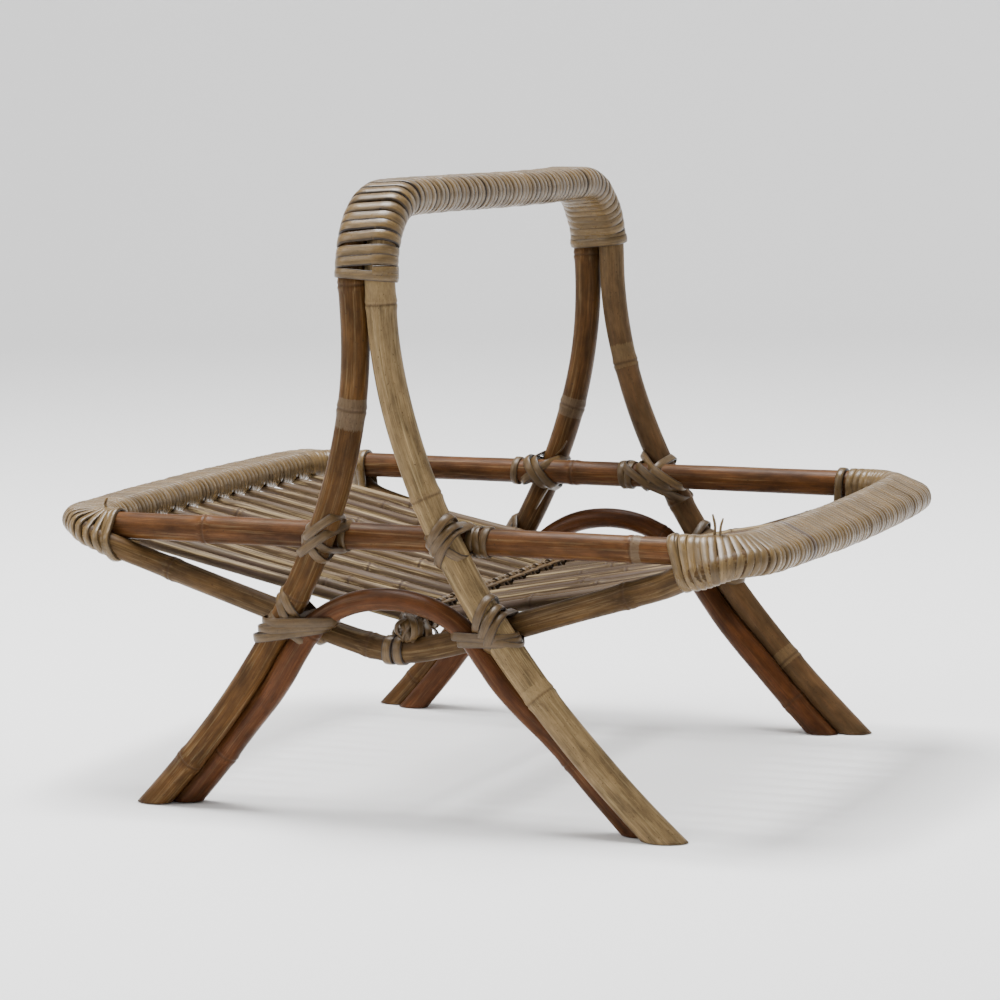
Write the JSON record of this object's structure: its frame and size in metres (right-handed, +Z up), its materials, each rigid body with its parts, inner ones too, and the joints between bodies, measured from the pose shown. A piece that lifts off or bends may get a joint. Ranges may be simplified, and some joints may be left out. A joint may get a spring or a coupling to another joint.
{
  "type": "magazine rack",
  "caption": "Free-standing rattan magazine rack: a V-shaped trough of thin cane slats hung in a bent cane frame with splayed legs and a bound carrying handle.",
  "frame": {"origin": "on the floor, under the middle of the rack", "axes": "+X along the trough from left to right, +Y from the near side to the far side (along the handle bar), +Z up"},
  "size_m": [0.4877, 0.3932, 0.3778],
  "materials": {
    "pole_cane": "satin, varnished cane skin",
    "arch_cane": "satin, dark smoked cane",
    "rim_cane": "satin, smoked cane",
    "rail_cane": "satin, smoked cane",
    "slat_cane": "matt, weathered cane",
    "binding_strip": "matt to satin, split cane strip",
    "lashing_strip": "matt, grey-brown split cane strip"
  },
  "bodies": {
    "root": {"handle_pole_left": "pole_cane", "handle_pole_right": "pole_cane", "near_arch_rod": "arch_cane", "far_arch_rod": "arch_cane", "rim_rod": "rim_cane", "near_lower_rail": "rail_cane", "far_lower_rail": "rail_cane", "crossbar": "rail_cane", "slat_left_01": "slat_cane", "slat_left_02": "slat_cane", "slat_left_03": "slat_cane", "slat_left_04": "slat_cane", "slat_left_05": "slat_cane", "slat_left_06": "slat_cane", "slat_left_07": "slat_cane", "slat_left_08": "slat_cane", "slat_left_09": "slat_cane", "slat_left_10": "slat_cane", "slat_left_11": "slat_cane", "slat_left_12": "slat_cane", "slat_left_13": "slat_cane", "slat_left_14": "slat_cane", "slat_right_01": "slat_cane", "slat_right_02": "slat_cane", "slat_right_03": "slat_cane", "slat_right_04": "slat_cane", "slat_right_05": "slat_cane", "slat_right_06": "slat_cane", "slat_right_07": "slat_cane", "slat_right_08": "slat_cane", "slat_right_09": "slat_cane", "slat_right_10": "slat_cane", "slat_right_11": "slat_cane", "slat_right_12": "slat_cane", "slat_right_13": "slat_cane", "slat_right_14": "slat_cane", "handle_binding": "binding_strip", "left_end_binding": "binding_strip", "right_end_binding": "binding_strip", "top_lashing_near_left": "lashing_strip", "top_lashing_near_right": "lashing_strip", "top_lashing_far_left": "lashing_strip", "top_lashing_far_right": "lashing_strip", "lower_lashing_near_left": "lashing_strip", "lower_lashing_near_right": "lashing_strip", "lower_lashing_far_left": "lashing_strip", "lower_lashing_far_right": "lashing_strip", "crossbar_tie_near": "lashing_strip", "crossbar_tie_far": "lashing_strip", "slat_lacing": "lashing_strip"}
  },
  "joints": []
}
